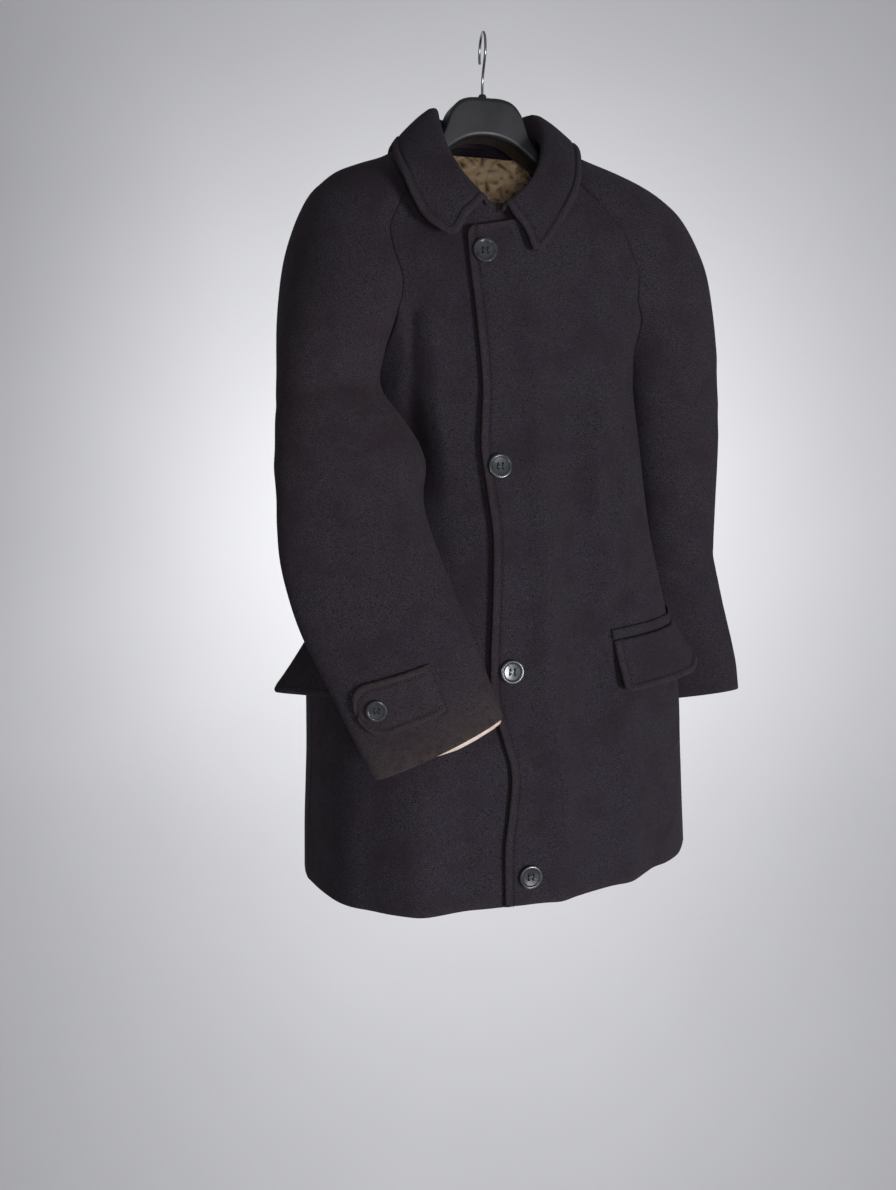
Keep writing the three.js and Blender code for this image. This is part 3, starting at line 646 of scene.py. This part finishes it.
def cut_size(piece):
    """The flat width, length and area of the cloth that the piece is cut from."""
    along, down = piece.points[:, 1:] - piece.points[:, :-1], piece.points[1:] - piece.points[:-1]
    cells = np.linalg.norm(np.cross(along[:-1], down[:, :-1]), axis=-1)
    width = (piece.edge["left"][:, -1]).max()
    length = (piece.edge["top"][-1]).max()
    return round(float(width), 3), round(float(length), 3), round(float(cells.sum()), 4)


def finish_piece(mesh, name, material, node=None):
    mesh.materials.append(material)
    shown = bpy.data.objects.new(name, mesh)
    bpy.context.collection.objects.link(shown)
    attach(shown, "root")
    if node:
        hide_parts(node)
    return shown


def sew_cloth(piece, thick, material, stitches=None, seams=(), hems=(), rubbed=0.0,
              pressed=0.0):
    """Makes the piece. Stitches gives each stitched edge its distance, in millimetres."""
    half = thick / 2 - 0.05 * MM
    fall = np.zeros(piece.points.shape[:2])
    press = fall - pressed
    for side in piece.edge:
        width = SEAM_ROUND if side in seams else HEM_ROUND if side in hems else EDGE_ROUND
        fall = np.maximum(fall, rounding(piece.edge[side], width, half))
    for side, at in (stitches or {}).items():
        others = [s for s in stitches if s != side]
        inside = np.ones_like(fall)
        for other in others:
            inside = np.where(piece.edge[other] / MM < stitches[other] - 0.4, 0, inside)
        press += groove(piece.edge[side], at) * inside
    closed = piece.points
    for side in seams:
        closed = closed - np.where(piece.edge[side] == 0, PAST_SEAM, 0)[..., None] * piece.way_in(side)
    out = piece.out
    outer = closed + out * (press - fall)[..., None]
    inner = closed - out * (thick - fall)[..., None]
    name = f"{piece.name}_cloth"
    mesh = wall_mesh(name, outer, inner)
    near = np.minimum.reduce([piece.edge[side] for side in piece.edge if side not in seams] or [fall + 1])
    note(mesh, "rubbed", np.clip(rubbed + EDGE_WEAR * np.exp(-((near / WEAR_WIDTH) ** 2)), 0, 1))
    lay_uv(mesh, piece)
    width, length, area = cut_size(piece)
    shown = finish_piece(mesh, name, material, piece.name)
    print(f"{name}: {width * 100:.1f} x {length * 100:.1f} cm, {len(mesh.polygons)} faces")
    return shown


# %% [markdown]
# ## Thread
#
# Top stitching is a row of short threads, sunk between the wools. Geometry Nodes set one stitch on
# every step of a line that lies on the cloth, turned along it. The line is simply one of the piece's
# own drawn rows or columns, because those were set at the stitch's distance from the edge.

# %% The stitch tree
STITCH = 3.6 * MM
STITCH_THREAD = 0.32 * MM
STITCH_SHARE = 0.36   # half of a stitch's step, less the hole between two


def stitch_tree():
    tree = bpy.data.node_groups.new("stitches along a line", "GeometryNodeTree")
    face = tree.interface
    face.new_socket("Geometry", in_out="INPUT", socket_type="NodeSocketGeometry")
    for name in ("Stitch length", "Thread radius"):
        face.new_socket(name, in_out="INPUT", socket_type="NodeSocketFloat")
    face.new_socket("Thread", in_out="INPUT", socket_type="NodeSocketMaterial")
    face.new_socket("Geometry", in_out="OUTPUT", socket_type="NodeSocketGeometry")
    given = add_node(tree, "NodeGroupInput").outputs
    path = add_node(tree, "GeometryNodeMeshToCurve", {"Mesh": given["Geometry"]})
    steps = add_node(tree, "GeometryNodeResampleCurve", {"Curve": path.outputs[0]})
    steps.mode = "LENGTH"
    tree.links.new(given["Stitch length"], steps.inputs["Length"])
    ball = add_node(tree, "GeometryNodeMeshUVSphere", {"Radius": given["Thread radius"]}, Segments=6, Rings=5)
    stretch = add_node(tree, "ShaderNodeMath", {0: given["Stitch length"], 1: given["Thread radius"]},
                       operation="DIVIDE")
    length = add_node(tree, "ShaderNodeMath", {0: stretch.outputs[0]}, operation="MULTIPLY")
    length.inputs[1].default_value = STITCH_SHARE
    size = add_node(tree, "ShaderNodeCombineXYZ", {"Z": length.outputs[0]}, X=1.0, Y=1.0)
    tangent = add_node(tree, "GeometryNodeInputTangent")
    turned = add_node(tree, "FunctionNodeAlignRotationToVector", {"Vector": tangent.outputs[0]}, axis="Z")
    sewn = add_node(
        tree, "GeometryNodeInstanceOnPoints",
        {"Points": steps.outputs[0], "Instance": ball.outputs["Mesh"], "Rotation": turned.outputs[0],
         "Scale": size.outputs[0]})
    real = add_node(tree, "GeometryNodeRealizeInstances", {"Geometry": sewn.outputs[0]})
    done = add_node(
        tree, "GeometryNodeSetMaterial", {"Geometry": real.outputs[0], "Material": given["Thread"]})
    result = add_node(tree, "NodeGroupOutput")
    tree.links.new(done.outputs[0], result.inputs[0])
    return tree


STITCHES = stitch_tree()


def applied(work, name):
    """A plain mesh of what the object's modifiers make, and the object itself is thrown away."""
    result = bpy.data.meshes.new_from_object(work.evaluated_get(bpy.context.evaluated_depsgraph_get()))
    result.name = name
    bpy.data.objects.remove(work)
    return result


def stitch_line(name, lines):
    """Sews along lines of points."""
    mesh = bpy.data.meshes.new(name)
    points, edges = [], []
    for line in lines:
        edges += [(len(points) + k, len(points) + k + 1) for k in range(len(line) - 1)]
        points += [tuple(point) for point in line]
    mesh.from_pydata(points, edges, [])
    work = bpy.data.objects.new(name, mesh)
    bpy.context.collection.objects.link(work)
    sew = work.modifiers.new("sew", "NODES")
    sew.node_group = STITCHES
    sockets = {item.name: item.identifier for item in STITCHES.interface.items_tree if item.in_out == "INPUT"}
    sew[sockets["Stitch length"]] = STITCH
    sew[sockets["Thread radius"]] = STITCH_THREAD
    sew[sockets["Thread"]] = THREAD
    made = applied(work, name)
    made.shade_smooth()
    made.materials.clear()
    return finish_piece(made, name, THREAD)


def line_on(piece, route, at, depth=0.55 * MM):
    """A line on a piece that runs along the named edges, this far inside them, in millimetres."""
    sunk = piece.points - piece.out * depth
    index = {}
    for side, axis in (("top", 0), ("foot", 0), ("left", 1), ("right", 1)):
        middle = piece.points.shape[1 - axis] // 2
        distance = piece.edge[side][:, middle] if axis == 0 else piece.edge[side][middle]
        index[side] = int(np.abs(distance - at * MM).argmin())
    rows, columns = piece.points.shape[:2]
    line = []
    for k, side in enumerate(route):
        vertical = side in ("left", "right")
        first = index[route[k - 1]] if k else None
        last = index[route[k + 1]] if k + 1 < len(route) else None
        whole = rows if vertical else columns
        start = first if first is not None else (0 if last is None or last > whole / 2 else whole - 1)
        stop = last if last is not None else (whole - 1 if start < whole / 2 else 0)
        span = range(start, stop + 1) if stop >= start else range(start, stop - 1, -1)
        line += [sunk[i, index[side]] if vertical else sunk[index[side], i] for i in span]
    return line


# %% [markdown]
# ## The coat, piece by piece
#
# The body is two fronts and a back, and each raglan sleeve is one piece that runs up to the neck. They
# meet in pressed seams, so both sides of a seam fall away together and leave a shallow valley. The
# left front laps over the right one, with a line of stitches near its edge.

# %% Thicknesses, as they are in the solids, and how far in each edge is stitched
WOOL_THICK = 3.2 * MM
DOUBLE_THICK = 4.4 * MM
LINING_THICK = 1.2 * MM
FRONT_STITCHED, COLLAR_STITCHED, FLAP_STITCHED, STRAP_STITCHED = 9.0, 9.5, 9.0, 8.0   # millimetres

# %% Body and sleeves
left_front = piece_of("front_left", WOOL_THICK, top=FOLD, foot=FOLD, left=stitched(FRONT_STITCHED))
right_front = piece_of("front_right", WOOL_THICK, top=FOLD, foot=FOLD, right=FOLD)
back = piece_of("back", WOOL_THICK, foot=FOLD)
sleeves = [
    piece_of(f"sleeve_{side}", WOOL_THICK, foot=FOLD, own_centre=True) for side in ("left", "right")]

left_front.round_corner("top", "left", 8)
sew_cloth(left_front, WOOL_THICK, COATING, seams=("right",), hems=("foot", "left"),
          stitches={"left": FRONT_STITCHED})
stitch_line("front_edge_stitches", [line_on(left_front, ("left",), FRONT_STITCHED)])
sew_cloth(right_front, WOOL_THICK, COATING, seams=("left",), hems=("foot", "right"))
sew_cloth(back, WOOL_THICK, COATING, seams=("left", "right", "top"), hems=("foot",))

SLEEVE_SEAM = 0.794                                  # a share of the way across
SEAM_DEEP, SEAM_WIDE = 1.1 * MM, 2.2 * MM
FADED = {"sleeve_left": 0.1, "sleeve_right": 0.5}    # at the cuff
for sleeve in sleeves:
    share = sleeve.edge["left"] / (sleeve.edge["left"] + sleeve.edge["right"])
    aside = (share - SLEEVE_SEAM) * sleeve.edge["left"][:, -1:]
    below = np.clip((sleeve.edge["top"] - 0.32) / 0.08, 0, 1)
    from_cuff = sleeve.edge["foot"]
    at_cuff, at_elbow = np.exp(-((from_cuff / 0.05) ** 2)), np.exp(-(((from_cuff - 0.4) / 0.16) ** 2))
    sew_cloth(sleeve, WOOL_THICK, COATING, seams=("left", "right", "top"), hems=("foot",),
              rubbed=FADED[sleeve.name] * (at_cuff + 0.3 * at_elbow),
              pressed=SEAM_DEEP * below * np.exp(-((aside / SEAM_WIDE) ** 2)))

# %% [markdown]
# ## Collar, pockets and cuff straps
#
# These are bagged out: two layers of wool sewn face to face, turned and pressed, then stitched about
# a centimetre from the edge. The stitching squeezes the layers, so the border beyond it swells. That
# swelled edge is the coat's main ornament, and it shows on the collar, the flaps and the straps.

# %% Collar
def bagged_out(node, at, apart):
    """A piece with a line of stitches along its foot and both sides."""
    border = stitched(at)
    return piece_of(node, DOUBLE_THICK, foot=border, left=border, right=border, apart=apart)


collar = bagged_out("collar", COLLAR_STITCHED, 3.4 * MM)
collar.round_corner("foot", "left", 15)
collar.round_corner("foot", "right", 12)
ROUND = ("left", "foot", "right")
sew_cloth(collar, DOUBLE_THICK, COATING, seams=("top",),
          stitches=dict.fromkeys(ROUND, COLLAR_STITCHED))
stitch_line("collar_stitches", [line_on(collar, ROUND, COLLAR_STITCHED)])

# %% Pockets
for side in ("left", "right"):
    flap = bagged_out(f"pocket_flap_{side}", FLAP_STITCHED, 3.2 * MM)
    flap.round_corner("foot", "left", 8)
    flap.round_corner("foot", "right", 8)
    sew_cloth(flap, DOUBLE_THICK, COATING, seams=("top",),
              stitches=dict.fromkeys(ROUND, FLAP_STITCHED))
    stitch_line(f"pocket_flap_{side}_stitches", [line_on(flap, ROUND, FLAP_STITCHED)])
    welt = piece_of(f"pocket_welt_{side}", WOOL_THICK, apart=3.2 * MM)
    sew_cloth(welt, WOOL_THICK, COATING, seams=("top", "foot", "left", "right"))

# %% Cuff straps
SINKS_OVER, SINKS_BY = 22 * MM, 6.4 * MM   # into the seam that holds the strap's square end
for side in ("left", "right"):
    strap = piece_of(f"cuff_strap_{side}", DOUBLE_THICK, top=stitched(STRAP_STITCHED),
                     foot=stitched(STRAP_STITCHED), left=FOLD, apart=3.0 * MM)
    sunk = np.clip(1 - strap.edge["right"] / SINKS_OVER, 0, 1) ** 1.5
    sew_cloth(strap, DOUBLE_THICK, COATING, seams=("right",),
              rubbed=0.15, pressed=SINKS_BY * sunk,
              stitches={"top": STRAP_STITCHED, "foot": STRAP_STITCHED})
    stitch_line(f"cuff_strap_{side}_stitches",
                [line_on(strap, (edge,), STRAP_STITCHED) for edge in ("top", "foot")])

# %% [markdown]
# ## Lining
#
# Satin shows at the back of the neck and in the mouth of the right cuff. The neck's is quilted and
# has been crushed under the hanger for years, so it is full of short sharp creases.

# %% Lining
neck_lining = piece_of("neck_lining", LINING_THICK, apart=1.6 * MM)
cuff_lining = piece_of("cuff_lining", LINING_THICK, apart=3.0 * MM, own_centre=True)
NECK_CRUSHES, NECK_CRUSH_DEEP = 420, 2.2 * MM
CUFF_CRUSHES, CUFF_CRUSH_DEEP = 30, 0.5 * MM


def crushed(piece, seed, count, deep):
    """Short creases pressed into a lining, and how deep in one each point lies. That depth is also the mask
    of the shade painted into the satin's colour.
    """
    rng = np.random.default_rng(seed)
    flat = piece.points.reshape(-1, 3)
    valley = np.zeros(len(flat))
    for _ in range(count):
        start = flat[rng.integers(len(flat))]
        way = rng.normal(size=3)
        way /= np.linalg.norm(way)
        length, width = rng.uniform(8, 26) * MM, rng.uniform(1.2, 2.8) * MM
        along = np.clip((flat - start) @ way, 0, length)
        away = np.linalg.norm(flat - start - along[:, None] * way, axis=-1)
        valley = np.maximum(valley, np.exp(-((away / width) ** 2)) * rng.uniform(0.5, 1.0))
    valley = valley.reshape(piece.points.shape[:2])
    piece.points = piece.points + piece.out * (valley * deep)[..., None]
    return valley


def sew_lining(piece, material, valley):
    shown = sew_cloth(piece, LINING_THICK, material)
    # The crease depth is kept on the mesh as the mask of the shade painted into the satin's colour.
    note(shown.data, "painted_crease_shade", valley)


sew_lining(neck_lining, LINING_SATIN,
           crushed(neck_lining, 4, NECK_CRUSHES, NECK_CRUSH_DEEP))
sew_lining(cuff_lining, CUFF_SATIN,
           crushed(cuff_lining, 9, CUFF_CRUSHES, CUFF_CRUSH_DEEP))

# %% [markdown]
# ## Buttons
#
# Four on the front and one on each strap. Each is a dished disc with a raised rim and four holes. The
# solid's shape is right, so it is merged, its edges are eased with a small bevel, and it gets two bars
# of thread through the holes.

# %% Buttons
BUTTONS = {"button_1": 27.0, "button_2": 27.0, "button_3": 27.0, "button_4": 27.0,
           "cuff_button_left": 22.5, "cuff_button_right": 22.5}


def merged_copy(node, bevel, angle=35.0):
    """The node's solid as one smooth mesh with eased edges."""
    mesh = bpy.data.meshes.new(node)
    body = bmesh.new()
    body.from_mesh(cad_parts[node].data)
    bmesh.ops.remove_doubles(body, verts=body.verts, dist=0.01 * MM)
    body.to_mesh(mesh)
    body.free()
    mesh.materials.clear()
    mesh.shade_smooth()
    mesh.set_sharp_from_angle(angle=math.radians(60))
    work = bpy.data.objects.new(node, mesh)
    bpy.context.collection.objects.link(work)
    ease = work.modifiers.new("ease", "BEVEL")
    ease.width, ease.segments, ease.limit_method, ease.angle_limit = bevel, 2, "ANGLE", math.radians(angle)
    work.modifiers.new("flat sides stay flat", "WEIGHTED_NORMAL").keep_sharp = True
    return applied(work, node)


def way_it_faces(mesh):
    """A button's middle and the way it faces."""
    points = np.array([v.co for v in mesh.vertices])
    middle = points.mean(axis=0)
    _, _, axes = np.linalg.svd(points - middle)
    facing = axes[2]
    if facing @ (middle * [1.0, 1.0, 0.0]) < 0:
        facing = -facing
    return Vector(middle), Vector(facing)


def thread_bars(middle, facing, spin, across):
    """The points of two bars of thread over a button's holes."""
    turn = Vector((0, -1, 0)).rotation_difference(facing)
    reach, lift = across * 0.1, across * 0.03
    bars = []
    for side in (-1, 1):
        bar = []
        for k in range(7):
            share = k / 6
            local = Vector((side * reach, -lift * math.sin(math.pi * share), (2 * share - 1) * reach))
            bar.append(middle + turn @ (spin @ local))
        bars.append(bar)
    return bars


def tube_mesh(name, lines, radius):
    curve = bpy.data.curves.new(name, "CURVE")
    curve.dimensions, curve.bevel_depth, curve.bevel_resolution = "3D", radius, 2
    curve.use_fill_caps = True
    for line in lines:
        spline = curve.splines.new("POLY")
        spline.points.add(len(line) - 1)
        for point, place in zip(spline.points, line):
            point.co = (*place, 1.0)
    work = bpy.data.objects.new(name, curve)
    bpy.context.collection.objects.link(work)
    return applied(work, name)


BUTTON_EASE, BUTTON_THREAD = 0.25 * MM, 0.45 * MM
THREAD_ABOVE_MIDDLE = 0.9 * MM
THREADED_ASLANT = Vector((0, 0, 1)).rotation_difference(Vector((0.2, 0, 1)))
for node, across in BUTTONS.items():
    disc = merged_copy(node, BUTTON_EASE)
    middle, facing = way_it_faces(disc)
    shift = Vector(pushed_by(np.array([middle]))[0])
    for vertex in disc.vertices:
        vertex.co += shift
    finish_piece(disc, f"{node}_disc", POLYESTER, node)
    face = middle + shift + facing * THREAD_ABOVE_MIDDLE
    bars = thread_bars(face, facing, THREADED_ASLANT, across * MM)
    threads = tube_mesh(f"{node}_thread", bars, BUTTON_THREAD)
    threads.shade_smooth()
    finish_piece(threads, f"{node}_thread", THREAD)

# %% [markdown]
# ## Hanger
#
# One moulding with rounded edges, and a wire hook that turns in it over a small bead. Their solids are
# right as they are, so they are only merged, eased and smoothed.

# %% Hanger
HANGER_EASE, HANGER_CORNER = 0.3 * MM, 50.0   # the corner in degrees
for node, material, slot in (("hanger_body", POLYSTYRENE, "hanger_plastic"),
                             ("hanger_hook", WIRE, "steel_wire"),
                             ("hanger_bead", POLYSTYRENE, "hanger_plastic")):
    finish_piece(
        merged_copy(node, HANGER_EASE, HANGER_CORNER), f"{node}_smooth", material, node)

# %% [markdown]
# ## Room and light
#
# A pale paper sweep: a wall, a wide curve and a floor in one sheet. The main light is soft and stands in
# front, to the right, at the height of the waist, so the shoulders fall into shade. A small lamp to the
# left reaches in at the neck. A lamp of its own brightens the paper behind the coat and fades towards
# the corners.

# %% Paper sweep
WALL_BEHIND = 2.2
FLOOR_BELOW = -2.7
SWEEP_CURVE = 1.2
SWEEP_TOP, SWEEP_FRONT, SWEEP_HALF_WIDTH = 2.6, -4.0, 5.0
CURVE_STEPS = 16


def paper_sweep():
    profile = [(SWEEP_FRONT, FLOOR_BELOW)]
    for k in range(CURVE_STEPS + 1):
        turn = math.radians(90 * k / CURVE_STEPS)
        profile.append((WALL_BEHIND - SWEEP_CURVE + SWEEP_CURVE * math.sin(turn),
                        FLOOR_BELOW + SWEEP_CURVE - SWEEP_CURVE * math.cos(turn)))
    profile.append((WALL_BEHIND, SWEEP_TOP))
    points, faces = [], []
    turn = -TURNED
    for k, (away, height) in enumerate(profile):
        for side in (-SWEEP_HALF_WIDTH, SWEEP_HALF_WIDTH):
            points.append((side * math.cos(turn) + away * math.sin(turn),
                           -side * math.sin(turn) + away * math.cos(turn), height))
        if k:
            faces.append((2 * k - 2, 2 * k - 1, 2 * k + 1, 2 * k))
    mesh = bpy.data.meshes.new("paper_sweep")
    mesh.from_pydata(points, [], faces)
    mesh.shade_smooth()
    material, tree, shader = new_material("matt_background_paper", Roughness=0.9, Specular_IOR_Level=0.2)
    place = add_node(tree, "ShaderNodeTexCoord").outputs["Object"]
    tree.links.new(
        blend_by(tree, grain(tree, place, 0.4), "#d3d3d6", "#d9d9db"), shader.inputs["Base Color"])
    mesh.materials.append(material)
    sweep = bpy.data.objects.new("paper_sweep", mesh)
    bpy.context.collection.objects.link(sweep)


paper_sweep()


# %% Lights
def soft_light(name, place, aim, size, watts, colour="#ffffff"):
    lamp = bpy.data.lights.new(name, "AREA")
    lamp.shape, lamp.size, lamp.energy, lamp.color = "DISK", size, watts, linear(colour)[:3]
    shone = bpy.data.objects.new(name, lamp)
    shone.location = place
    shone.rotation_euler = (Vector(aim) - Vector(place)).to_track_quat("-Z", "Y").to_euler()
    bpy.context.collection.objects.link(shone)


soft_light("window", (1.0, -2.5, -0.95), (0.0, 0.0, -0.75), 0.7, 40, "#fafaff")
soft_light("into_neck", (-0.45, -2.0, -0.62), (0.0, 0.0, -0.2), 0.3, 6.5, "#fbf9ff")
soft_light("on_paper", (0.14, 0.60, -0.62), (0.69, 2.55, -0.70), 0.4, 30)

world = bpy.data.worlds.new("room")
world.use_nodes = True
world.node_tree.nodes["Background"].inputs["Color"].default_value = linear("#e9ebf0")
world.node_tree.nodes["Background"].inputs["Strength"].default_value = 0.22
bpy.context.scene.world = world
bpy.context.scene.view_settings.view_transform = "Standard"
